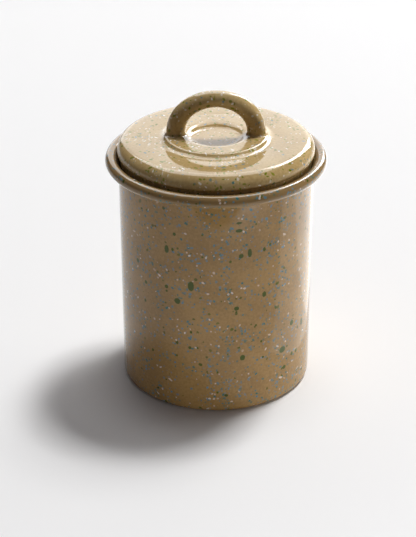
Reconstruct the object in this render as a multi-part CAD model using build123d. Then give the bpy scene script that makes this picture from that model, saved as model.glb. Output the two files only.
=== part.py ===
from build123d import *
from math import acos, atan2, copysign, cos, degrees, radians, sin, sqrt
import os

# An enamelled steel storage jar: a drawn body with a rolled rim, and a drop-in lid with a bow
# handle. Millimetres, +Z up. The origin is the centre of the standing ring, on the surface that
# the jar stands on, and the bow lies in the X-Z plane. A bend's size is its radius on the skin
# that its line follows: the outside of the body, and the top and outside of the lid.

# Sheet: steel with both enamel coats
sheet = 1.0

# Jar body
jar_height = 125.6          # standing surface to the crest of the rim
body_radius = 50.0          # outside of the wall where the rim begins to flare
wall_draft = 0.15           # degrees that the wall leans out
base_corner = 2.6           # bend between standing ring and wall
ring_width = 2.8            # flat of the standing ring
base_lift = 1.2             # base panel above the standing surface
lift_bend = 2.2             # both bends between base panel and standing ring
rim_reach = 6.72            # rim beyond the outside of the wall
roll_radius = 3.12          # outside of the rolled rim
flare_bend = 9.0            # bend from the wall out to the roll
curl_turn = 290.0          # degrees that the roll turns, almost back to the wall

# Lid shell
lid_overhang = 0.5          # lid wall beyond the outside of the body wall
lid_wall = 0.3              # straight wall between shoulder and step
shoulder_bend = 6.0
crown_slope = 4.0           # degrees of fall at both edges of the crown
step_top_bend = 1.3         # where the wall turns under
step_low_bend = 1.0         # from there into the neck
seat_inset = 0.6            # neck within the outside of the body wall
neck_height = 3.4
seat_clearance = 0.3        # end of the neck to the flare of the rim
boss_height = 1.95          # raised ring above the foot of its outer flank
boss_radius = 24.8          # outer end of the raised ring's flat top
boss_edge_bend = 2.5
boss_foot_bend = 5.5
dish_radius = 17.5          # inner end of the raised ring's flat top
dish_depth = 2.45
dish_edge_bend = 6.5
dish_foot_bend = 5.0

# Lid collar
collar_fit = 0.05           # solder film between collar and neck
collar_top = 3.0            # collar above the end of the neck
collar_drop = 9.5           # collar below the end of the neck
collar_hem_bend = 1.6       # turned-in lower edge
collar_lip = 0.8            # flat of the turned-in edge

# Lid handle
bow_foot_radius = 20.5      # lid axis to the centre of each foot
bow_rise = 17.6             # centre of the tube at the crest, above the top of the welds
foot_diameter = 9.7
crest_diameter = 8.5
weld_bend = 1.3             # hollow of the enamelled weld round each foot

# Rim: the wall, the flare and the roll are tangent
roll_centre = Vector(body_radius + rim_reach - roll_radius, jar_height - roll_radius)
flare_centre_r = body_radius + flare_bend * cos(radians(wall_draft))
flare_spread = flare_centre_r - roll_centre.X
flare_fall = sqrt((flare_bend - roll_radius + sheet) ** 2 - flare_spread**2)
flare_centre = Vector(flare_centre_r, roll_centre.Y - flare_fall)
flare_z = flare_centre.Y + flare_bend * sin(radians(wall_draft))
flare_turn = degrees(atan2(flare_fall, flare_spread)) - wall_draft

# Lid heights, from where the rounded end of its neck rests on the flare
neck_radius = body_radius - seat_inset
neck_reach = flare_bend + sheet + seat_clearance + sheet / 2
neck_spread = flare_centre.X - neck_radius + sheet / 2
neck_end_z = flare_centre.Y + sqrt(neck_reach**2 - neck_spread**2)
lid_radius = body_radius + lid_overhang
step_turn = degrees(acos(1 - (lid_radius - neck_radius) / (step_top_bend + step_low_bend)))
step_drop = (step_top_bend + step_low_bend) * sin(radians(step_turn))
lid_edge_z = neck_end_z + neck_height + step_drop
crown_foot_z = lid_edge_z + lid_wall + shoulder_bend * cos(radians(crown_slope))
boss_z = crown_foot_z + boss_height - boss_foot_bend * (1 - cos(radians(crown_slope)))
foot_top_z = boss_z + weld_bend
foot_root = boss_height + dish_depth    # blank left below each foot before it is cut to the lid


def skin_line(start, heading, runs, depth):
    """Draw tangent runs at a depth to the left of the skin: lengths, and (radius, turn) bends."""
    edges = []
    point = Vector(*start) + Vector(*heading).rotate(Axis.Z, 90) * depth
    direction = Vector(*heading)
    for run in runs:
        if isinstance(run, tuple):
            radius, turn = run
            side = 1 if turn > 0 else -1
            edge = JernArc(point, direction, radius - side * depth, turn)
        else:
            edge = PolarLine(point, run, direction=direction)
        edges.append(edge)
        point = edge @ 1
        direction = edge % 1
    return edges


def half_round(point, heading, depth):
    """Round off the free end of a sheet, across to its skin on the left at the given depth."""
    return JernArc(point, heading, abs(depth) / 2, copysign(180, depth))


def pressing(start, heading, runs, depth):
    """Revolve one sheet about Z, from its skin line to the given depth on the left."""
    skin = skin_line(start, heading, runs, 0)
    inside = skin_line(start, heading, runs, depth)
    end = half_round(skin[-1] @ 1, skin[-1] % 1, depth)
    if start[0] == 0:
        begin = Line(inside[0] @ 0, skin[0] @ 0)
    else:
        begin = half_round(inside[0] @ 0, (inside[0] % 0) * -1, depth)
    section = make_face(skin + inside + [end, begin])
    return revolve(Plane.XZ * section, Axis.Z)


def jar_body():
    """Drawn body: raised base, standing ring, wall, flare and rolled rim, in one sheet."""
    lift_turn = degrees(acos(1 - base_lift / (2 * lift_bend)))
    corner_top = base_corner * (1 - sin(radians(wall_draft)))
    wall_rise = flare_z - corner_top
    wall_run = wall_rise * sin(radians(wall_draft)) / cos(radians(wall_draft))
    ring_outer = body_radius - wall_run - base_corner * cos(radians(wall_draft))
    panel_radius = ring_outer - ring_width - 2 * lift_bend * sin(radians(lift_turn))
    runs = [
        panel_radius,
        (lift_bend, -lift_turn),
        (lift_bend, lift_turn),
        ring_width,
        (base_corner, 90 - wall_draft),
        wall_rise / cos(radians(wall_draft)),
        (flare_bend, -flare_turn),
        (roll_radius - sheet, -curl_turn),
    ]
    return pressing((0, base_lift), (1, 0), runs, sheet)


def lid_runs():
    """Runs of the lid's skin, from the centre of the dish out and down to the end of the neck."""
    dish_turn = degrees(acos(1 - dish_depth / (dish_edge_bend + dish_foot_bend)))
    boss_turn = degrees(acos(1 - boss_height / (boss_edge_bend + boss_foot_bend)))
    slope = sin(radians(crown_slope))
    flank = (boss_edge_bend + boss_foot_bend) * sin(radians(boss_turn))
    crown_inner = boss_radius + flank + boss_foot_bend * slope
    crown_outer = lid_radius - shoulder_bend * (1 - slope)
    return [
        dish_radius - (dish_edge_bend + dish_foot_bend) * sin(radians(dish_turn)),
        (dish_foot_bend, dish_turn),
        (dish_edge_bend, -dish_turn),
        boss_radius - dish_radius,
        (boss_edge_bend, -boss_turn),
        (boss_foot_bend, boss_turn + crown_slope),
        ((crown_outer - crown_inner) / (2 * slope), -2 * crown_slope),
        (shoulder_bend, crown_slope - 90),
        lid_wall,
        (step_top_bend, -step_turn),
        (step_low_bend, step_turn),
        neck_height,
    ]


def lid_shell():
    """Pressed lid: finger dish, raised ring, crown, shoulder, and a step into the neck."""
    return pressing((0, boss_z - dish_depth), (1, 0), lid_runs(), -sheet)


def lid_collar():
    """Ring inside the neck that drops into the mouth of the jar, with a turned-in edge."""
    radius = neck_radius - sheet - collar_fit
    runs = [
        collar_top + collar_drop - collar_hem_bend,
        (collar_hem_bend, -90),
        collar_lip,
    ]
    return pressing((radius, neck_end_z + collar_top), (0, -1), runs, -sheet)


def bow(inset):
    """Tapered bow along half an ellipse, from foot to foot, with its skin set in."""
    path = Plane.XZ * EllipticalCenterArc((0, foot_top_z), bow_foot_radius, bow_rise, arc_size=180)
    sections = [
        Plane(path @ t, z_dir=path % t) * Circle(diameter / 2 - inset)
        for t, diameter in ((0, foot_diameter), (0.5, crest_diameter), (1, foot_diameter))
    ]
    return sweep(sections, path=path, multisection=True)


def bow_foot():
    """Straight end of the bow, with the hollow ring of weld that fills its corner with the lid."""
    leg = foot_diameter / 2
    weld = leg + weld_bend
    outline = Polyline((leg, weld_bend), (0, weld_bend), (0, -foot_root), (weld, -foot_root), (weld, 0))
    hollow = CenterArc((weld, weld_bend), weld_bend, 180, 90)
    return revolve(Plane.XZ * make_face(outline.edges() + [hollow]), Axis.Z)


def foot_bore():
    """Bore of a foot, from below the lid's skin to the bore of the bow."""
    bore = Cylinder(foot_diameter / 2 - sheet, foot_root + weld_bend)
    return Pos(0, 0, (weld_bend - foot_root) / 2) * bore


def lid_top():
    """Everything below the top and outside of the lid, as one turned solid."""
    centre = (0, boss_z - dish_depth)
    skin = skin_line(centre, (1, 0), lid_runs(), 0)
    end = skin[-1] @ 1
    core = Polyline((end.X, end.Y), (0, end.Y), centre)
    return revolve(Plane.XZ * make_face(skin + core.edges()), Axis.Z)


def lid_handle():
    """Hollow bow handle, cut where its feet and their welds meet the top of the lid."""
    tube = bow(0)
    bore = bow(sheet)
    for x in (-bow_foot_radius, bow_foot_radius):
        foot = Pos(x, 0, boss_z)
        tube += foot * bow_foot()
        bore += foot * foot_bore()
    return tube - bore - lid_top()


nodes = {
    "jar_body": jar_body,
    "lid_shell": lid_shell,
    "lid_collar": lid_collar,
    "lid_handle": lid_handle,
}

os.makedirs("parts", exist_ok=True)
for name, make in nodes.items():
    export_step(make(), f"parts/{name}.step")
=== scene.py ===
"""The looks of an enamelled steel storage jar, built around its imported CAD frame.

Everything is in metres in the frame of the CAD: +Z up, the origin at the centre of the ring that
the jar stands on, and the bow of the lid in the X-Z plane. As in the CAD, a bend's size is its
radius on the skin that its line follows: the outside of the body, the top and outside of the lid.
"""
import logging
import math
from collections.abc import Mapping, Sequence
from dataclasses import dataclass, field, replace
from enum import Enum

import bmesh
import bpy
from mathutils import Matrix, Vector


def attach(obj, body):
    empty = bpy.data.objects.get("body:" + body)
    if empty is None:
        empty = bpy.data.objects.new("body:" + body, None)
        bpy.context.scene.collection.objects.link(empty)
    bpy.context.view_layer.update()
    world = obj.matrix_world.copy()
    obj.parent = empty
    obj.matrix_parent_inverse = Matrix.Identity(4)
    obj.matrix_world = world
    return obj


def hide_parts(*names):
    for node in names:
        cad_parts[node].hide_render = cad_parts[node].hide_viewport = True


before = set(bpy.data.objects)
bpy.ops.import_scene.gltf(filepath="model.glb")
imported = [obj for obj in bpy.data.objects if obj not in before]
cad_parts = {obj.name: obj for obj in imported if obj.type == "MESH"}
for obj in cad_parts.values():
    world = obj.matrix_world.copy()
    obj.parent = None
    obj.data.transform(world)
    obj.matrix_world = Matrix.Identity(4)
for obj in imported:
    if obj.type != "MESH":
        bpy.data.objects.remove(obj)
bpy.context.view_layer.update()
log = logging.getLogger("storage_jar")

Colour = tuple[float, float, float]

SIDES = 256                 # facets of a turned piece, all round
TUBE_SIDES = 64             # facets of the handle's tube, all round
BEND_STEP = 5.0             # degrees of a bend between two rings of a mesh
LEAST_STEPS = 3             # steps of the shortest bend
END_STEP = 15.0             # degrees of a sheet's rounded free end between two rings
SHARP_EDGE = 40.0           # degrees between faces from which an edge is shaded sharp
ON_AXIS = 1e-6              # metres from the axis within which a ring is one point
SAME_POINT = 1e-7           # metres within which two points are one
MM = 1000.0                 # millimetres in a metre


class Body(Enum):
    """The bodies of the frame, which move on their own."""

    JAR = "jar"
    LID = "lid"


class Slot(Enum):
    """The material slots of the record."""

    JAR = "jar_enamel"
    LID = "lid_enamel"


class Use(Enum):
    """What a lamp is for: to light surfaces without a mirror image, or only to be mirrored in them."""

    LIGHT = "light"
    GLEAM = "gleam"


def linear(colour: Colour) -> Colour:
    """Turn a colour as it is seen on a screen into the linear one that a shader takes.

    Args:
        colour: Red, green and blue, from 0 to 255.

    Returns:
        Red, green and blue, from 0 to 1.
    """
    shares = [part / 255 for part in colour]
    return tuple(((s + 0.055) / 1.055) ** 2.4 if s > 0.04045 else s / 12.92 for s in shares)


def toward(azimuth: float, elevation: float) -> Vector:
    """Give the direction that has this azimuth and elevation.

    Args:
        azimuth: Degrees from +X towards +Y.
        elevation: Degrees above the floor.

    Returns:
        A direction of length 1.
    """
    flat = math.cos(math.radians(elevation))
    turn = math.radians(azimuth)
    return Vector((flat * math.cos(turn), flat * math.sin(turn), math.sin(math.radians(elevation))))


@dataclass(frozen=True)
class Bend:
    """One bend of a sheet: its radius on the drawn skin, and degrees of turn to the left."""

    radius: float
    turn: float


@dataclass(frozen=True)
class Station:
    """One point of a turned section, as radius and height, with the outward normal there."""

    radius: float
    height: float
    normal: Vector


@dataclass(frozen=True)
class Sheet:
    """The section of one sheet: tangent runs along its skin, and the thickness to their left.

    The heading is in degrees, 0 outwards and 90 up. A thickness to the right is negative.
    """

    start: tuple[float, float]
    heading: float
    runs: Sequence[float | Bend]
    thickness: float

    def face(self, depth: float) -> list[Station]:
        """Walk the runs at a depth to their left.

        Args:
            depth: Distance to the left of the skin: 0, or the thickness for the other face.

        Returns:
            The stations in the order of the runs, with normals that point out of the sheet.
        """
        outward = math.copysign(1, self.thickness) * (-1 if depth == 0 else 1)  # along the left
        heading = math.radians(self.heading)
        left = Vector((-math.sin(heading), math.cos(heading)))
        point = Vector(self.start) + left * depth
        stations = [Station(point.x, point.y, left * outward)]
        for run in self.runs:
            if isinstance(run, Bend):
                turn = math.radians(run.turn)
                centre = point + left * (math.copysign(run.radius, turn) - depth)
                arm = point - centre
                steps = max(LEAST_STEPS, math.ceil(abs(run.turn) / BEND_STEP))
                for step in range(1, steps + 1):
                    spin = Matrix.Rotation(turn * step / steps, 2)
                    point = centre + spin @ arm
                    stations.append(Station(point.x, point.y, spin @ left * outward))
                left = spin @ left
            else:
                point = point + Vector((left.y, -left.x)) * run
                stations.append(Station(point.x, point.y, left * outward))
        return stations

    def rounding(self, last: Station, first: Station) -> list[Station]:
        """Round off a free end, between the ends of the two faces.

        Args:
            last: Where the walk reaches the end.
            first: Where it goes on, across the sheet.

        Returns:
            The stations of the half round between them.
        """
        near = Vector((last.radius, last.height))
        centre = (near + Vector((first.radius, first.height))) / 2
        half_turn = math.copysign(math.pi, self.thickness)
        steps = math.ceil(180 / END_STEP)
        stations = []
        for step in range(1, steps):
            arm = Matrix.Rotation(half_turn * step / steps, 2) @ (near - centre)
            point = centre + arm
            stations.append(Station(point.x, point.y, arm.normalized()))
        return stations

    def outline(self) -> list[Station]:
        """Go once round the sheet: out along its skin and back along the other face.

        Returns:
            The stations of a closed outline, or of one from axis to axis.
        """
        skin = self.face(0)
        back = self.face(self.thickness)[::-1]
        outline = skin + self.rounding(skin[-1], back[0]) + back
        if self.start[0] > ON_AXIS:
            outline += self.rounding(back[-1], skin[0])
        return outline


def skinned(name: str, rings: Sequence[Sequence[Vector]], closed: bool) -> bpy.types.Object:
    """Lay quads between rings of points, and fans where a ring is one point.

    Args:
        name: Name of the piece.
        rings: Rings of equally many points, or of one.
        closed: Whether the last ring joins the first.

    Returns:
        The new piece, shaded smooth but for its sharp edges.
    """
    form = bmesh.new()
    rows = [[form.verts.new(point) for point in ring] for ring in rings]
    for near, far in zip(rows, rows[1:] + rows[:1] * closed):
        sides = max(len(near), len(far))
        for n in range(sides):
            m = (n + 1) % sides
            ends = near[n % len(near)], near[m % len(near)], far[m % len(far)], far[n % len(far)]
            form.faces.new(dict.fromkeys(ends))
    bmesh.ops.remove_doubles(form, verts=form.verts, dist=SAME_POINT)
    bmesh.ops.recalc_face_normals(form, faces=form.faces)
    for edge in form.edges:
        edge.smooth = edge.calc_face_angle(0) < math.radians(SHARP_EDGE)
    for face in form.faces:
        face.smooth = True
    mesh = bpy.data.meshes.new(name)
    form.to_mesh(mesh)
    form.free()
    piece = bpy.data.objects.new(name, mesh)
    bpy.context.scene.collection.objects.link(piece)
    return piece


def turned(name: str, outline: Sequence[Station]) -> bpy.types.Object:
    """Turn an outline about Z, with the exact normals of its runs.

    Args:
        name: Name of the piece.
        outline: A closed outline, or one from axis to axis.

    Returns:
        The new piece.
    """
    rings = []
    normals = []
    for station in outline:
        sides = SIDES if station.radius > ON_AXIS else 1
        spins = [Matrix.Rotation(math.tau * n / sides, 3, "Z") for n in range(sides)]
        rings.append([spin @ Vector((station.radius, 0, station.height)) for spin in spins])
        normals += [spin @ Vector((station.normal.x, 0, station.normal.y)) for spin in spins]
    piece = skinned(name, rings, closed=outline[0].radius > ON_AXIS)
    piece.data.normals_split_custom_set_from_vertices(normals)
    return piece


def dress(
    piece: bpy.types.Object, finish: bpy.types.Material, node: str, body: Body
) -> None:
    """Coat a piece, let it stand for a CAD node, ride on its body and take its slot.

    Args:
        piece: The bare piece.
        finish: Its enamel.
        node: The CAD node that it stands for.
        body: The body that carries it.
    """
    piece.data.materials.append(finish)
    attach(piece, body.value)
    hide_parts(node)
    log.info("%s: %d faces, rides on %s", piece.name, len(piece.data.polygons), body.value)


class Signal:
    """An output of a shader's node, on which Python's operators add more nodes."""

    def __init__(self, shader: "Shader", socket: bpy.types.NodeSocket) -> None:
        """Wrap an output.

        Args:
            shader: The shader that the node is in.
            socket: The output.
        """
        self.shader = shader
        self.socket = socket

    def __getitem__(self, output: str) -> "Signal":
        """Give another output of the same node."""
        return Signal(self.shader, pick(self.socket.node.outputs, output))

    def is_vector(self) -> bool:
        """Tell whether this holds a vector or a colour."""
        return self.socket.type in {"VECTOR", "RGBA"}

    def compute(self, operation: str, *operands: "Operand") -> "Signal":
        """Add a Math node, or a Vector Math node where a vector or a colour comes in.

        Args:
            operation: The node's operation.
            *operands: What its inputs take, in order.

        Returns:
            The node's output in use.
        """
        vector = any(isinstance(o, Signal) and o.is_vector() for o in operands)
        kind = "ShaderNodeVectorMath" if vector else "ShaderNodeMath"
        result = self.shader.add(kind, {"operation": operation}, dict(enumerate(operands)))
        return result["Value"] if operation in {"DOT_PRODUCT", "LENGTH"} else result

    def __add__(self, other: "Operand") -> "Signal":
        """Add."""
        return self.compute("ADD", self, other)

    def __radd__(self, other: "Operand") -> "Signal":
        """Add to a number."""
        return self.compute("ADD", other, self)

    def __sub__(self, other: "Operand") -> "Signal":
        """Subtract."""
        return self.compute("SUBTRACT", self, other)

    def __rsub__(self, other: "Operand") -> "Signal":
        """Subtract from a number."""
        return self.compute("SUBTRACT", other, self)

    def __mul__(self, other: "Operand") -> "Signal":
        """Multiply."""
        return self.compute("MULTIPLY", self, other)

    def __rmul__(self, other: "Operand") -> "Signal":
        """Multiply a number."""
        return self.compute("MULTIPLY", other, self)

    def __lt__(self, other: "Operand") -> "Signal":
        """Give 1 where this is less, and 0 elsewhere."""
        return self.compute("LESS_THAN", self, other)

    def most(self, other: "Operand") -> "Signal":
        """Give the larger of the two."""
        return self.compute("MAXIMUM", self, other)

    def least(self, other: "Operand") -> "Signal":
        """Give the smaller of the two."""
        return self.compute("MINIMUM", self, other)

    def dot(self, other: "Operand") -> "Signal":
        """Give the dot product of two vectors."""
        return self.compute("DOT_PRODUCT", self, other)

    def length(self) -> "Signal":
        """Give the length of this vector."""
        return self.compute("LENGTH", self)

    def direction(self) -> "Signal":
        """Give this vector's direction, of length 1."""
        return self.compute("NORMALIZE", self)

    def fraction(self) -> "Signal":
        """Give what is left of a value after its whole part."""
        return self.compute("FRACT", self)

    def rise(self, low: "Operand", high: "Operand") -> "Signal":
        """Rise smoothly from 0 to 1.

        Args:
            low: Where the rise begins.
            high: Where it ends.

        Returns:
            0 below low, 1 above high.
        """
        settings = {"interpolation_type": "SMOOTHSTEP"}
        sockets = {"Value": self, "From Min": low, "From Max": high}
        return self.shader.add("ShaderNodeMapRange", settings, sockets)


Operand = Signal | float | tuple[float, float, float]


def pick(sockets: bpy.types.bpy_prop_collection, key: str | int) -> bpy.types.NodeSocket:
    """Find a socket in use, by its place or by its name.

    Args:
        sockets: A node's inputs or outputs.
        key: Place in the list, or name.

    Returns:
        The socket.
    """
    if isinstance(key, int):
        return sockets[key]
    return next(socket for socket in sockets if socket.enabled and socket.name == key)


class Shader:
    """The nodes of one material, which end in a Principled BSDF."""

    def __init__(self, name: str) -> None:
        """Start a material with no nodes.

        Args:
            name: Name of the material.
        """
        self.material = bpy.data.materials.new(name)
        self.material.use_nodes = True
        self.material.node_tree.nodes.clear()

    def node(
        self, kind: str, settings: Mapping[str, object], sockets: Mapping[str | int, Operand]
    ) -> bpy.types.Node:
        """Add a node.

        Args:
            kind: The node's type.
            settings: Its settings, which are set first.
            sockets: Values or signals for its inputs, by name or by place.

        Returns:
            The node.
        """
        node = self.material.node_tree.nodes.new(kind)
        for name, value in settings.items():
            setattr(node, name, value)
        for key, operand in sockets.items():
            socket = pick(node.inputs, key)
            if isinstance(operand, Signal):
                self.material.node_tree.links.new(operand.socket, socket)
            elif socket.type == "RGBA":
                socket.default_value = (*operand, 1.0)
            elif socket.type == "VECTOR" and isinstance(operand, (int, float)):
                socket.default_value = (operand, operand, operand)
            else:
                socket.default_value = operand
        return node

    def add(
        self, kind: str, settings: Mapping[str, object], sockets: Mapping[str | int, Operand]
    ) -> Signal:
        """Add a node that has outputs.

        Args:
            kind: The node's type.
            settings: Its settings, which are set first.
            sockets: Values or signals for its inputs, by name or by place.

        Returns:
            Its first output in use, from which the others can be taken by name.
        """
        outputs = self.node(kind, settings, sockets).outputs
        return Signal(self, next(socket for socket in outputs if socket.enabled))

    def position(self) -> Signal:
        """Give the place on the piece, in millimetres."""
        return self.add("ShaderNodeTexCoord", {}, {})["Object"] * MM

    def noise(self, place: Signal, size: float, detail: float = 2.0) -> Signal:
        """Add a cloudy noise.

        Args:
            place: Where it is read, in millimetres.
            size: Size of its clouds, in millimetres.
            detail: Octaves of finer clouds.

        Returns:
            A value around 0.5.
        """
        sockets = {"Vector": place, "Scale": 1 / size, "Detail": detail}
        return self.add("ShaderNodeTexNoise", {}, sockets)

    def blend(self, share: Operand, one: Operand, other: Operand) -> Signal:
        """Mix two colours.

        Args:
            share: How much of the other colour.
            one: The colour at 0.
            other: The colour at 1.

        Returns:
            The mixed colour.
        """
        sockets = {"Factor": share, "A": one, "B": other}
        return self.add("ShaderNodeMix", {"data_type": "RGBA"}, sockets)

    def bump(self, height: Signal, depth: float) -> Signal:
        """Raise the surface a little.

        Args:
            height: From 0 to 1.
            depth: What 1 stands for, in metres.

        Returns:
            The normal.
        """
        return self.add("ShaderNodeBump", {}, {"Height": height, "Distance": depth})

    def finish(self, sockets: Mapping[str, Operand]) -> bpy.types.Material:
        """End the shader in a Principled BSDF.

        Args:
            sockets: Values or signals for its inputs.

        Returns:
            The finished material.
        """
        surface = self.add("ShaderNodeBsdfPrincipled", {}, sockets)
        self.node("ShaderNodeOutputMaterial", {}, {"Surface": surface})
        return self.material


# A cell's random value, times one of these, leaves a fraction that is used as another random value.
SIZE_DRAW, STRENGTH_DRAW, TINT_DRAW = 7, 13, 5


@dataclass(frozen=True)
class Flecks:
    """One kind of fleck in the enamel: specks of another colour that were fired into it.

    Lengths are in millimetres. Each cell of a scattered pattern may hold one fleck, which is an
    ellipsoid at random angles, so the surface cuts long and round ones, large and small.

    Attributes:
        pale: Colour at one end of their range.
        dark: Colour at the other end.
        spacing: Size of the pattern's cells.
        radius: Radius of the thickest fleck, across its length.
        share: Share of the cells that hold a fleck, on average.
        stretch: How many times longer than thick a fleck is.
        seed: Shift of the pattern, so that each kind has its own.
        faintest: Strength of the faintest fleck.
        thinnest: Radius of the thinnest fleck, as a share of the thickest one's.
        edge: Half the width of a fleck's soft edge.
    """

    pale: Colour
    dark: Colour
    spacing: float
    radius: float
    share: float
    stretch: float
    seed: float
    faintest: float = 0.35
    thinnest: float = 0.35
    edge: float = 0.12

    def mask(self, shader: Shader, place: Signal, crowd: Signal) -> tuple[Signal, Signal]:
        """Tell where these flecks are.

        Args:
            shader: The shader that takes them.
            place: Where they are read, in millimetres.
            crowd: From 0 to 1, how crowded the flecks are, and 0.5 on average.

        Returns:
            How much of a fleck is seen, 0 outside, and the colour of the nearest fleck.
        """
        spot = place + self.seed
        settings = {"voronoi_dimensions": "3D", "feature": "F1"}
        cell = shader.add("ShaderNodeTexVoronoi", settings, {"Vector": spot, "Scale": 1 / self.spacing})
        lot = shader.add("ShaderNodeSeparateXYZ", {}, {"Vector": cell["Color"]})
        arm = spot - cell["Position"]
        axis = (cell["Color"] - 0.5).direction()
        reach = (arm - axis * (arm.dot(axis) * (1 - 1 / self.stretch))).length()
        size = self.radius * ((lot["X"] * SIZE_DRAW).fraction() * (1 - self.thinnest) + self.thinnest)
        held = lot["Y"] < crowd * (2 * self.share)
        strength = (lot["X"] * STRENGTH_DRAW).fraction() * (1 - self.faintest) + self.faintest
        inside = 1 - (reach - size).rise(-self.edge, self.edge)
        tint = shader.blend((lot["Z"] * TINT_DRAW).fraction(), linear(self.pale), linear(self.dark))
        return inside * held * strength, tint


@dataclass(frozen=True)
class Blot:
    """One larger fleck at a place of its own: an upright ellipsoid, in millimetres."""

    centre: tuple[float, float, float]
    half_width: float
    half_height: float

    def nearness(self, place: Signal) -> Signal:
        """Give 1 on its edge, less inside and more outside, at a place in millimetres."""
        shrink = (1 / self.half_width, 1 / self.half_width, 1 / self.half_height)
        return ((place - self.centre) * shrink).length()


@dataclass(frozen=True)
class SpeckledEnamel:
    """A glossy coat of enamel on steel, with flecks of other enamels fired into it.

    Lengths are in millimetres, apart from the depth of the bump.

    Attributes:
        name: Name of the material.
        ground: Colour of the coat.
        deep: Colour where the coat has pooled.
        flecks: Its scattered flecks, in the order in which they cover each other.
        blots: Its larger flecks, each at a place of its own.
        blot_tint: Colour of those.
        blot_edge: Nearness where their soft edge begins, and where it ends.
        rim_shade_above: Height from which the coat is darkened as painted shade, if it is anywhere.
        rim_shade_tint: Colour of the painted shade.
        rim_shade_blend: Half the height of the change to it.
        cloud_size: Size of the pooled clouds.
        grain_size: Size of the grain at their edges.
        pool_range: Noise where the pooled colour begins, and where it is full.
        crowd_size: Size of the stretches where flecks are crowded or few.
        crowd_range: Noise where flecks are fewest, and where they are most.
        fewest: How crowded flecks are where they are fewest.
        ragged_size: Size of the wobble in the outlines of flecks.
        raggedness: How far the wobble moves them.
        ripple_size: Size of the ripples in the gloss.
        fleck_rise: How much flecks stand out, as a share of a ripple.
        bump_depth: Depth of a ripple, in metres.
        roughness: Roughness of the gloss.
        index: Its index of refraction.
        gleam: Its specular level.
    """

    name: str
    ground: Colour
    deep: Colour
    flecks: tuple[Flecks, ...]
    blots: tuple[Blot, ...] = ()
    blot_tint: Colour = (70, 84, 0)
    blot_edge: tuple[float, float] = (0.95, 1.25)
    # Painted shade: the coat darkens on the rolled rim, under the lid's edge.
    rim_shade_above: float | None = None
    rim_shade_tint: Colour = (142, 115, 75)
    rim_shade_blend: float = 0.5
    cloud_size: float = 22.0
    grain_size: float = 1.3
    pool_range: tuple[float, float] = (0.36, 0.64)
    crowd_size: float = 14.0
    crowd_range: tuple[float, float] = (0.25, 0.75)
    fewest: float = 0.1
    ragged_size: float = 0.9
    raggedness: float = 0.5
    ripple_size: float = 5.0
    fleck_rise: float = 0.15
    bump_depth: float = 0.00003
    roughness: float = 0.07
    index: float = 1.5
    gleam: float = 0.4

    def coat(self, shader: Shader, place: Signal) -> Signal:
        """Colour the coat between its flecks, with painted shade on the rolled rim above a given height.

        Args:
            shader: The shader that takes it.
            place: The place on the piece, in millimetres.

        Returns:
            The colour.
        """
        clouds = shader.noise(place, self.cloud_size) * 0.5 + shader.noise(place, self.grain_size) * 0.5
        pooled = clouds.rise(*self.pool_range)
        colour = shader.blend(pooled, linear(self.ground), linear(self.deep))
        if self.rim_shade_above is None:
            return colour
        # Painted shade: above this height the coat turns to the darker tint, on the rolled rim under the
        # lid's edge.
        height = place.dot((0.0, 0.0, 1.0))
        rim_shade = height.rise(self.rim_shade_above - self.rim_shade_blend, self.rim_shade_above + self.rim_shade_blend)
        return shader.blend(rim_shade, colour, linear(self.rim_shade_tint))

    def fired_in(self, shader: Shader, place: Signal) -> list[tuple[Signal, Operand]]:
        """Scatter the flecks and place the blots.

        Args:
            shader: The shader that takes them.
            place: The place on the piece, in millimetres.

        Returns:
            How much of each kind is seen, with its colour, from the lowest to the topmost.
        """
        wobble = shader.noise(place, self.ragged_size, detail=1.0)["Color"] - 0.5
        ragged = place + wobble * self.raggedness
        crowd = shader.noise(place, self.crowd_size, detail=1.0).rise(*self.crowd_range)
        crowd = crowd * (1 - 2 * self.fewest) + self.fewest
        kinds: list[tuple[Signal, Operand]] = [kind.mask(shader, ragged, crowd) for kind in self.flecks]
        if self.blots:
            nearest = self.blots[0].nearness(ragged)
            for blot in self.blots[1:]:
                nearest = nearest.least(blot.nearness(ragged))
            kinds.append((1 - nearest.rise(*self.blot_edge), linear(self.blot_tint)))
        return kinds

    def material(self) -> bpy.types.Material:
        """Build the material.

        Returns:
            The material, for pieces whose own coordinates are those of the frame.
        """
        shader = Shader(self.name)
        place = shader.position()
        colour = self.coat(shader, place)
        raised: Operand = 0.0
        for mask, tint in self.fired_in(shader, place):
            colour = shader.blend(mask, colour, tint)
            raised = mask.most(raised)
        ripples = shader.noise(place, self.ripple_size, detail=1.0) + raised * self.fleck_rise
        return shader.finish({
            "Base Color": colour,
            "Roughness": self.roughness,
            "IOR": self.index,
            "Specular IOR Level": self.gleam,
            "Normal": shader.bump(ripples, self.bump_depth),
        })


BLUE = Flecks(
    pale=(104, 144, 164), dark=(50, 108, 98), spacing=1.6, radius=0.73, share=0.36, stretch=1.9,
    seed=3.7, faintest=0.5,
)
GREEN = Flecks(
    pale=(88, 98, 10), dark=(60, 76, 6), spacing=3.2, radius=0.84, share=0.28, stretch=1.6,
    seed=87.9, faintest=0.7,
)
WHITE_CHIPS = Flecks(
    pale=(236, 224, 214), dark=(216, 194, 172), spacing=2.2, radius=0.60, share=0.11, stretch=3.2,
    seed=41.3, faintest=0.45,
)
FEW_BLUE = Flecks(
    pale=(108, 140, 160), dark=(70, 120, 110), spacing=2.4, radius=0.72, share=0.32, stretch=1.8,
    seed=3.7,
)
OLIVE_DASHES = Flecks(
    pale=(128, 136, 16), dark=(96, 110, 8), spacing=2.5, radius=0.80, share=0.52, stretch=2.4,
    seed=61.7, faintest=0.7,
)
PALE_CHIPS = Flecks(
    pale=(246, 239, 228), dark=(228, 218, 200), spacing=1.6, radius=0.57, share=0.18, stretch=2.6,
    seed=41.3, faintest=0.45,
)

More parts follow.
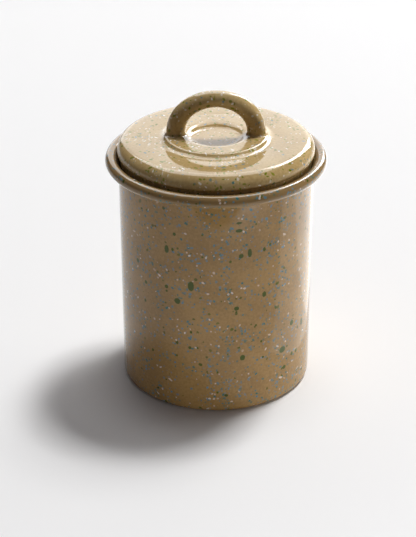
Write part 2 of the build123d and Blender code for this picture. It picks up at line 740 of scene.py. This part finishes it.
JAR_ENAMEL = SpeckledEnamel(
    "speckled_body",
    ground=(172, 137, 84),
    deep=(152, 119, 71),
    flecks=(BLUE, GREEN, WHITE_CHIPS),
    # From this height the rolled rim's coat is darkened: painted shade under the lid's edge.
    rim_shade_above=120.5,
)
LID_ENAMEL = SpeckledEnamel(
    "speckled_lid",
    ground=(198, 172, 121),
    deep=(180, 151, 100),
    flecks=(FEW_BLUE, OLIVE_DASHES, PALE_CHIPS),
)


@dataclass
class JarBody:
    """The body, one drawn sheet: raised base, standing ring, wall, flare and rolled rim.

    Attributes:
        sheet: Thickness of the enamelled steel.
        height: Height of the body, with its rim.
        wall_radius: Outer radius of the wall at its top.
        wall_draft: Degrees by which the wall widens upwards.
        base_corner: Bend from the standing ring to the wall.
        ring_width: Width of the ring's flat face.
        base_lift: Height of the base above the floor, inside the ring.
        lift_bend: Each of the two bends between the base and the ring.
        rim_reach: How far the rim reaches out past the wall.
        roll_radius: Radius of the rim's roll, over the outside.
        flare_bend: Bend of the flare, from the wall to the roll.
        curl_turn: Degrees through which the rim is rolled.
    """

    sheet: float = 0.0010
    height: float = 0.1256
    wall_radius: float = 0.0500
    wall_draft: float = 0.15
    base_corner: float = 0.0026
    ring_width: float = 0.0028
    base_lift: float = 0.0012
    lift_bend: float = 0.0022
    rim_reach: float = 0.00672
    roll_radius: float = 0.00312
    flare_bend: float = 0.0090
    curl_turn: float = 290.0

    @property
    def roll_middle(self) -> float:
        """Give the distance of the roll's centre from the axis."""
        return self.wall_radius + self.rim_reach - self.roll_radius

    def flare_centre(self) -> Vector:
        """Find the centre of the flare's bend, which meets both the wall and the roll.

        Returns:
            Its radius and height.
        """
        draft = math.radians(self.wall_draft)
        radius = self.wall_radius + self.flare_bend * math.cos(draft)
        apart = self.flare_bend - self.roll_radius + self.sheet
        fall = math.sqrt(apart**2 - (radius - self.roll_middle) ** 2)
        return Vector((radius, self.height - self.roll_radius - fall))

    def section(self) -> Sheet:
        """Draw the body's sheet from the centre of its base to the end of its curl.

        Returns:
            The sheet, whose skin is the outside.
        """
        draft = math.radians(self.wall_draft)
        centre = self.flare_centre()
        fall = self.height - self.roll_radius - centre.y
        spread = centre.x - self.roll_middle
        flare_turn = math.degrees(math.atan2(fall, spread)) - self.wall_draft
        rise = centre.y + self.flare_bend * math.sin(draft) - self.base_corner * (1 - math.sin(draft))
        lift_turn = math.degrees(math.acos(1 - self.base_lift / (2 * self.lift_bend)))
        ring_outer = self.wall_radius - rise * math.tan(draft) - self.base_corner * math.cos(draft)
        panel = ring_outer - self.ring_width - 2 * self.lift_bend * math.sin(math.radians(lift_turn))
        runs = (
            panel,
            Bend(self.lift_bend, -lift_turn),
            Bend(self.lift_bend, lift_turn),
            self.ring_width,
            Bend(self.base_corner, 90 - self.wall_draft),
            rise / math.cos(draft),
            Bend(self.flare_bend, -flare_turn),
            Bend(self.roll_radius - self.sheet, -self.curl_turn),
        )
        return Sheet((0.0, self.base_lift), 0.0, runs, self.sheet)

    def build(self, finish: bpy.types.Material) -> bpy.types.Object:
        """Turn the body and dress it.

        Args:
            finish: Its enamel.

        Returns:
            The piece.
        """
        piece = turned("jar_shell", self.section().outline())
        dress(piece, finish, "jar_body", Body.JAR)
        return piece


@dataclass
class LidShell:
    """The pressed lid: finger dish, raised ring, crown, shoulder, and a step into the neck.

    Attributes:
        jar: The body that the lid sits in.
        overhang: How far the lid reaches out past the jar's wall.
        wall: Height of the upright edge under the shoulder.
        shoulder_bend: Bend from the crown to that edge.
        crown_slope: Degrees by which the crown rises at its inner side and falls at its outer one.
        step_top_bend: Upper bend of the step into the neck.
        step_low_bend: Lower bend of the step.
        seat_inset: How far the neck is inside the line of the jar's wall.
        neck_height: Height of the upright neck.
        seat_clearance: Gap between the neck's end and the flare of the rim.
        boss_height: Height of the raised ring above the crown's inner side.
        boss_radius: Outer radius of the ring's flat top.
        boss_edge_bend: Upper bend of the ring's flank.
        boss_foot_bend: Lower bend of the flank.
        dish_radius: Inner radius of the ring's flat top, where the dish begins.
        dish_depth: Depth of the dish.
        dish_edge_bend: Upper bend of the dish's side.
        dish_foot_bend: Lower bend of the side.
    """

    jar: JarBody
    overhang: float = 0.0005
    wall: float = 0.0003
    shoulder_bend: float = 0.0060
    crown_slope: float = 4.0
    step_top_bend: float = 0.0013
    step_low_bend: float = 0.0010
    seat_inset: float = 0.0006
    neck_height: float = 0.0034
    seat_clearance: float = 0.0003
    boss_height: float = 0.00195
    boss_radius: float = 0.0248
    boss_edge_bend: float = 0.0025
    boss_foot_bend: float = 0.0055
    dish_radius: float = 0.0175
    dish_depth: float = 0.00245
    dish_edge_bend: float = 0.0065
    dish_foot_bend: float = 0.0050

    @property
    def radius(self) -> float:
        """Give the outer radius of the lid."""
        return self.jar.wall_radius + self.overhang

    @property
    def neck_radius(self) -> float:
        """Give the outer radius of the neck."""
        return self.jar.wall_radius - self.seat_inset

    @property
    def neck_end(self) -> float:
        """Find the height of the neck's lower end, which rests on the flare of the rim.

        Returns:
            The height.
        """
        centre = self.jar.flare_centre()
        end_radius = self.jar.sheet / 2
        reach = self.jar.flare_bend + self.jar.sheet + self.seat_clearance + end_radius
        spread = centre.x - self.neck_radius + end_radius
        return centre.y + math.sqrt(reach**2 - spread**2)

    @property
    def boss_top(self) -> float:
        """Find the height of the raised ring's flat top.

        Returns:
            The height.
        """
        slope = math.radians(self.crown_slope)
        bends = self.step_top_bend + self.step_low_bend
        step_turn = math.acos(1 - (self.radius - self.neck_radius) / bends)
        edge = self.neck_end + self.neck_height + bends * math.sin(step_turn)
        crown_foot = edge + self.wall + self.shoulder_bend * math.cos(slope)
        return crown_foot + self.boss_height - self.boss_foot_bend * (1 - math.cos(slope))

    def section(self) -> Sheet:
        """Draw the lid's sheet from the centre of its dish to the end of its neck.

        Returns:
            The sheet, whose skin is the top and the outside.
        """
        slope = math.sin(math.radians(self.crown_slope))
        dish_bends = self.dish_edge_bend + self.dish_foot_bend
        boss_bends = self.boss_edge_bend + self.boss_foot_bend
        step_bends = self.step_top_bend + self.step_low_bend
        dish_turn = math.acos(1 - self.dish_depth / dish_bends)
        boss_turn = math.acos(1 - self.boss_height / boss_bends)
        step_turn = math.degrees(math.acos(1 - (self.radius - self.neck_radius) / step_bends))
        crown_inner = self.boss_radius + boss_bends * math.sin(boss_turn) + self.boss_foot_bend * slope
        crown_outer = self.radius - self.shoulder_bend * (1 - slope)
        runs = (
            self.dish_radius - dish_bends * math.sin(dish_turn),
            Bend(self.dish_foot_bend, math.degrees(dish_turn)),
            Bend(self.dish_edge_bend, -math.degrees(dish_turn)),
            self.boss_radius - self.dish_radius,
            Bend(self.boss_edge_bend, -math.degrees(boss_turn)),
            Bend(self.boss_foot_bend, math.degrees(boss_turn) + self.crown_slope),
            Bend((crown_outer - crown_inner) / (2 * slope), -2 * self.crown_slope),
            Bend(self.shoulder_bend, self.crown_slope - 90),
            self.wall,
            Bend(self.step_top_bend, -step_turn),
            Bend(self.step_low_bend, step_turn),
            self.neck_height,
        )
        return Sheet((0.0, self.boss_top - self.dish_depth), 0.0, runs, -self.jar.sheet)

    def skin_height(self, radius: float) -> float:
        """Find the height of the lid's top.

        Args:
            radius: Distance from the axis, within the crown.

        Returns:
            The height of the skin there.
        """
        skin = self.section().face(0)
        for near, far in zip(skin, skin[1:]):
            if near.radius <= radius < far.radius:
                share = (radius - near.radius) / (far.radius - near.radius)
                return near.height + share * (far.height - near.height)
        raise ValueError(f"the lid's top has no radius of {radius}")

    def build(self, finish: bpy.types.Material) -> bpy.types.Object:
        """Turn the lid and dress it.

        Args:
            finish: Its enamel.

        Returns:
            The piece.
        """
        piece = turned("lid_pressing", self.section().outline())
        dress(piece, finish, "lid_shell", Body.LID)
        return piece


@dataclass
class LidCollar:
    """The ring inside the neck that drops into the mouth of the jar, with a turned-in edge.

    Attributes:
        shell: The lid that carries it.
        fit: Gap between it and the inside of the neck.
        top: How far it reaches up from the neck's end.
        drop: How far it reaches down from the neck's end.
        hem_bend: Bend of its turned-in edge.
        lip: Width of the edge past that bend.
    """

    shell: LidShell
    fit: float = 0.00005
    top: float = 0.0030
    drop: float = 0.0095
    hem_bend: float = 0.0016
    lip: float = 0.0008

    def section(self) -> Sheet:
        """Draw the collar's sheet from its top down to the lip.

        Returns:
            The sheet, whose skin faces the neck and the mouth of the jar.
        """
        sheet = self.shell.jar.sheet
        start = (self.shell.neck_radius - sheet - self.fit, self.shell.neck_end + self.top)
        runs = (self.top + self.drop - self.hem_bend, Bend(self.hem_bend, -90.0), self.lip)
        return Sheet(start, -90.0, runs, -sheet)

    def build(self, finish: bpy.types.Material) -> bpy.types.Object:
        """Turn the collar and dress it.

        Args:
            finish: Its enamel.

        Returns:
            The piece.
        """
        piece = turned("mouth_collar", self.section().outline())
        dress(piece, finish, "lid_collar", Body.LID)
        return piece


@dataclass
class LidHandle:
    """The hollow bow, which tapers to its crest, and the welds that carry its feet.

    Attributes:
        shell: The lid that carries it.
        foot_radius: Distance of each foot's middle from the jar's axis.
        rise: How far the middle of the tube rises from the feet to the crest.
        foot_diameter: Thickness of the tube at its feet.
        crest_diameter: Thickness of the tube at its crest.
        weld_bend: Hollow bend of the weld round each foot.
        rings: Steps of the mesh from foot to foot.
        weld_rings: Steps of the mesh up each weld.
    """

    shell: LidShell
    foot_radius: float = 0.0205
    rise: float = 0.0176
    foot_diameter: float = 0.0097
    crest_diameter: float = 0.0085
    weld_bend: float = 0.0013
    rings: int = 96
    weld_rings: int = 9

    def tube_ring(self, share: float, inset: float) -> list[Vector]:
        """Give one ring of the bow.

        Args:
            share: How far along the bow, from 0 at the right foot to 1 at the left one.
            inset: Depth below its skin.

        Returns:
            The points of the ring.
        """
        angle = math.pi * share
        base = self.shell.boss_top + self.weld_bend
        centre = Vector((self.foot_radius * math.cos(angle), 0, base + self.rise * math.sin(angle)))
        along = Vector((-self.foot_radius * math.sin(angle), 0, self.rise * math.cos(angle))).normalized()
        across = along.cross(Vector((0, 1, 0)))
        taper = 1 - abs(2 * share - 1)
        width = self.foot_diameter + (self.crest_diameter - self.foot_diameter) * taper
        reach = width / 2 - inset
        turns = [math.tau * n / TUBE_SIDES for n in range(TUBE_SIDES)]
        return [centre + (across * math.cos(t) + Vector((0, 1, 0)) * math.sin(t)) * reach for t in turns]

    def foot_ring(self, side: int, radius: float, rise: float) -> list[Vector]:
        """Give one ring of a foot, which follows the top of the lid.

        Args:
            side: 1 for the right foot, -1 for the left one.
            radius: Distance from the foot's axis.
            rise: Height above the lid.

        Returns:
            The points of the ring, in the order of the bow's rings.
        """
        points = []
        for n in range(TUBE_SIDES):
            turn = math.tau * n / TUBE_SIDES
            x = side * (self.foot_radius - radius * math.cos(turn))
            y = radius * math.sin(turn)
            points.append(Vector((x, y, self.shell.skin_height(math.hypot(x, y)) + rise)))
        return points

    def weld(self) -> list[tuple[float, float]]:
        """Draw the hollow flank of a foot's weld, from the lid up to the tube.

        Returns:
            Distances from the foot's axis, each with its height above the lid.
        """
        flank = []
        for step in range(self.weld_rings + 1):
            angle = math.pi / 2 * step / self.weld_rings
            out = self.weld_bend * (1 - math.sin(angle))
            up = self.weld_bend * (1 - math.cos(angle))
            flank.append((self.foot_diameter / 2 + out, up))
        return flank

    def build(self, finish: bpy.types.Material) -> bpy.types.Object:
        """Skin the bow and its welds, and dress them.

        Args:
            finish: Its enamel.

        Returns:
            The piece.
        """
        weld = self.weld()
        inner = self.foot_diameter / 2 - self.shell.jar.sheet
        shares = [n / self.rings for n in range(self.rings + 1)]
        rings = [self.foot_ring(1, radius, rise) for radius, rise in weld]
        rings += [self.tube_ring(share, 0) for share in shares]
        rings += [self.foot_ring(-1, radius, rise) for radius, rise in reversed(weld)]
        rings.append(self.foot_ring(-1, inner, 0))
        rings += [self.tube_ring(share, self.shell.jar.sheet) for share in reversed(shares)]
        rings.append(self.foot_ring(1, inner, 0))
        piece = skinned("bow_handle", rings, closed=True)
        dress(piece, finish, "lid_handle", Body.LID)
        return piece


@dataclass(frozen=True)
class SoftBox:
    """A rectangular lamp. At brightness 1 it looks as bright as white paper.

    Attributes:
        name: Name of the lamp.
        use: What it is there for.
        azimuth: Degrees from +X towards +Y at which it hangs, as seen from its aim.
        elevation: Degrees above its aim at which it hangs.
        distance: Distance from its aim.
        width: Its level side.
        height: Its other side.
        brightness: How bright it looks.
        aim: The point that it faces.
    """

    name: str
    use: Use
    azimuth: float
    elevation: float
    distance: float
    width: float
    height: float
    brightness: float
    aim: tuple[float, float, float] = (0.0, 0.0, 0.07)

    def build(self) -> bpy.types.Object:
        """Hang the lamp.

        Returns:
            The lamp.
        """
        lamp = bpy.data.lights.new(self.name, "AREA")
        lamp.shape = "RECTANGLE"
        lamp.size = self.width
        lamp.size_y = self.height
        lamp.energy = self.brightness * math.pi * self.width * self.height
        away = toward(self.azimuth, self.elevation)
        holder = bpy.data.objects.new(self.name, lamp)
        holder.location = Vector(self.aim) + away * self.distance
        holder.rotation_euler = away.to_track_quat("Z", "Y").to_euler()
        holder.visible_camera = False
        holder.visible_glossy = self.use is Use.GLEAM
        holder.visible_diffuse = self.use is Use.LIGHT
        bpy.context.scene.collection.objects.link(holder)
        return holder


@dataclass
class Studio:
    """White paper on a grey table, soft lamps, and a dim, even light all round.

    Attributes:
        floor_size: Side of the table.
        paper_white: Colour of the paper.
        paper_edge: Where the paper ends in front of the jar, along Y.
        table_grey: Colour of the table, which the front of the jar mirrors.
        table_drop: How far the table is below the paper.
        floor_roughness: Roughness of both.
        lamps: The lamps. The last two lie just above the floor and shine up, as sunlit patches.
        ambient: Strength of the even light.
        ambient_tint: Its colour.
    """

    floor_size: float = 6.0
    paper_white: Colour = (243, 243, 243)
    paper_edge: float = -0.262
    table_grey: Colour = (78, 78, 80)
    table_drop: float = 0.0005
    floor_roughness: float = 0.9
    lamps: tuple[SoftBox, ...] = (
        SoftBox(
            "key", Use.LIGHT, azimuth=43.5, elevation=67.0, distance=8.0,
            width=1.50, height=1.40, brightness=60.0,
        ),
        SoftBox(
            "low_key", Use.LIGHT, azimuth=51.5, elevation=58.0, distance=8.0,
            width=1.50, height=1.30, brightness=15.5,
        ),
        SoftBox(
            "top_light", Use.LIGHT, azimuth=92.0, elevation=84.0, distance=8.0,
            width=2.20, height=2.20, brightness=4.8,
        ),
        SoftBox(
            "side_light", Use.LIGHT, azimuth=30.0, elevation=4.6, distance=4.8,
            width=2.90, height=0.80, brightness=19.0,
        ),
        SoftBox(
            "front_bounce", Use.LIGHT, azimuth=-58.0, elevation=0.0, distance=0.30,
            width=0.40, height=0.02, brightness=7.5, aim=(0.0, 0.0, 0.011),
        ),
        SoftBox(
            "window", Use.GLEAM, azimuth=61.0, elevation=32.0, distance=1.6,
            width=0.40, height=1.15, brightness=14.0,
        ),
        SoftBox(
            "back_wall", Use.GLEAM, azimuth=90.0, elevation=22.0, distance=1.6,
            width=1.70, height=1.25, brightness=2.6,
        ),
        SoftBox(
            "back_window", Use.GLEAM, azimuth=90.0, elevation=61.0, distance=1.6,
            width=1.60, height=1.20, brightness=5.5,
        ),
        SoftBox(
            "sunlit_floor", Use.GLEAM, azimuth=0.0, elevation=-90.0, distance=0.498,
            width=0.55, height=0.56, brightness=0.7, aim=(0.35, 0.22, 0.5),
        ),
        SoftBox(
            "sunlit_patch", Use.GLEAM, azimuth=0.0, elevation=-90.0, distance=0.497,
            width=0.50, height=0.46, brightness=0.6, aim=(0.33, 0.27, 0.5),
        ),
    )
    ambient: float = 0.07
    ambient_tint: Colour = (253, 244, 253)

    def plane(self, name: str, near: float, height: float, colour: Colour) -> None:
        """Lay a level sheet that reaches back to the far end of the floor.

        Args:
            name: Name of the sheet.
            near: Where its edge in front of the jar is, along Y.
            height: Its height.
            colour: Its colour.
        """
        half = self.floor_size / 2
        corners = [(x, y, height) for y in (near, half) for x in (-half, half)]
        mesh = bpy.data.meshes.new(name)
        mesh.from_pydata(corners, [], [(0, 1, 3, 2)])
        sheet = bpy.data.objects.new(name, mesh)
        bpy.context.scene.collection.objects.link(sheet)
        matt = {"Base Color": linear(colour), "Roughness": self.floor_roughness}
        mesh.materials.append(Shader(name).finish(matt))

    def world(self) -> None:
        """Surround the jar with a dim, even light."""
        world = bpy.data.worlds.new("studio")
        bpy.context.scene.world = world
        world.use_nodes = True
        background = world.node_tree.nodes["Background"]
        background.inputs["Color"].default_value = (*linear(self.ambient_tint), 1.0)
        background.inputs["Strength"].default_value = self.ambient

    def build(self) -> None:
        """Set up the floor, the surroundings and the lamps."""
        self.plane("paper", self.paper_edge, 0.0, self.paper_white)
        self.plane("table", -self.floor_size / 2, -self.table_drop, self.table_grey)
        self.world()
        for lamp in self.lamps:
            lamp.build()
        bpy.context.scene.view_settings.view_transform = "Standard"
        log.info("studio: %d lamps", len(self.lamps))


@dataclass(frozen=True)
class Drop:
    """A larger green drop on the front of the body, in pixels of the photograph.

    Attributes:
        across: Distance of its middle from the left edge.
        down: Distance of its middle from the top edge.
        width: Its width as it is seen.
        height: Its height as it is seen.
    """

    across: float
    down: float
    width: float
    height: float


DROPS = (
    Drop(across=166.5, down=249.0, width=4.0, height=7.0),
    Drop(across=172.4, down=249.5, width=2.4, height=3.2),
    Drop(across=174.2, down=234.3, width=3.0, height=3.0),
    Drop(across=239.2, down=223.2, width=5.0, height=2.3),
    Drop(across=239.2, down=230.8, width=6.4, height=3.2),
    Drop(across=249.9, down=253.0, width=4.0, height=7.6),
    Drop(across=241.3, down=256.2, width=4.5, height=4.0),
    Drop(across=264.4, down=249.3, width=2.4, height=4.0),
    Drop(across=166.2, down=286.5, width=3.2, height=3.5),
    Drop(across=166.5, down=290.8, width=2.0, height=2.0),
    Drop(across=190.8, down=286.5, width=5.5, height=8.8),
    Drop(across=177.2, down=301.1, width=5.4, height=5.4),
    Drop(across=145.8, down=282.2, width=2.4, height=3.2),
    Drop(across=137.7, down=260.2, width=2.4, height=4.0),
    Drop(across=264.4, down=294.3, width=3.8, height=5.0),
    Drop(across=236.7, down=308.8, width=4.5, height=3.8),
    Drop(across=236.4, down=312.4, width=2.2, height=2.2),
    Drop(across=291.9, down=322.7, width=3.2, height=4.8),
    Drop(across=301.6, down=321.5, width=2.2, height=6.4),
    Drop(across=282.6, down=349.6, width=5.7, height=5.7),
    Drop(across=242.7, down=357.9, width=5.0, height=5.0),
    Drop(across=291.9, down=353.3, width=2.2, height=3.5),
    Drop(across=296.0, down=350.2, width=2.0, height=3.5),
    Drop(across=284.4, down=367.0, width=2.9, height=3.5),
    Drop(across=189.7, down=347.8, width=2.9, height=2.9),
    Drop(across=190.8, down=332.4, width=2.5, height=2.5),
    Drop(across=263.2, down=357.1, width=2.0, height=2.0),
    Drop(across=145.2, down=300.3, width=2.0, height=3.2),
    Drop(across=256.1, down=325.2, width=2.0, height=2.0),
    Drop(across=261.4, down=341.5, width=2.2, height=2.2),
    Drop(across=152.7, down=349.9, width=2.0, height=2.9),
)


@dataclass
class Viewpoint:
    """The camera, which looks along Y and down, and what it makes of the photograph's pixels.

    Attributes:
        place: Its place.
        pitch: Degrees that it looks down.
        picture_width: Width of the photograph, in pixels.
        picture_height: Height of the photograph, in pixels.
        focal_pixels: Focal length, in pixels of the photograph.
        axis_offset: How far right of the photograph's middle the jar's axis is, in pixels.
        sensor: Height of the sensor, in millimetres.
        least_lean: A drop is widened where the wall turns away, but not by more than 1 over this.
    """

    place: Vector = field(default_factory=lambda: Vector((0.0, -0.7992, 0.4770)))
    pitch: float = 27.66
    picture_width: float = 416.0
    picture_height: float = 537.0
    focal_pixels: float = 1704.77
    axis_offset: float = 8.06
    sensor: float = 36.0
    least_lean: float = 0.5

    def on_wall(self, drop: Drop, radius: float) -> Blot:
        """Lay a drop of the photograph on the upright wall of the body.

        Args:
            drop: The drop.
            radius: Radius of the wall.

        Returns:
            The fleck that looks like it from here.
        """
        pitch = math.radians(self.pitch)
        across = (drop.across - self.picture_width / 2 - self.axis_offset) / self.focal_pixels
        down = (drop.down - self.picture_height / 2) / self.focal_pixels
        sight = Vector((
            across,
            math.cos(pitch) - down * math.sin(pitch),
            -math.sin(pitch) - down * math.cos(pitch),
        ))
        # The line of sight meets the wall's cylinder at two roots, of which the nearer is seen.
        flat = sight.x**2 + sight.y**2
        near = self.place.y * sight.y
        reach = (-near - math.sqrt(near**2 - flat * (self.place.y**2 - radius**2))) / flat
        centre = self.place + sight * reach
        pixel = MM * reach / self.focal_pixels
        lean = max(abs(centre.y) / radius, self.least_lean)
        half_height = drop.height / 2 * pixel / math.cos(pitch)
        return Blot(tuple(centre * MM), drop.width / 2 * pixel / lean, half_height)

    def build(self) -> None:
        """Set up the camera and look through it."""
        camera = bpy.data.cameras.new("viewpoint")
        camera.sensor_fit = "VERTICAL"
        camera.sensor_height = self.sensor
        camera.lens = self.focal_pixels * self.sensor / self.picture_height
        camera.shift_x = -self.axis_offset / self.picture_height
        holder = bpy.data.objects.new("viewpoint", camera)
        holder.location = self.place
        holder.rotation_euler = (math.radians(90 - self.pitch), 0.0, 0.0)
        bpy.context.scene.collection.objects.link(holder)
        bpy.context.scene.camera = holder


def main() -> None:
    """Build the jar, its lid and the studio, with each piece on the body that carries it."""
    logging.basicConfig(level=logging.INFO, format="%(name)s: %(message)s")
    viewpoint = Viewpoint()
    viewpoint.build()
    jar = JarBody()
    shell = LidShell(jar)
    blots = tuple(viewpoint.on_wall(drop, jar.wall_radius) for drop in DROPS)
    jar_enamel = replace(JAR_ENAMEL, blots=blots).material()
    lid_enamel = LID_ENAMEL.material()
    jar.build(jar_enamel)
    shell.build(lid_enamel)
    LidCollar(shell).build(lid_enamel)
    LidHandle(shell).build(lid_enamel)
    Studio().build()


if __name__ == "__main__":
    main()
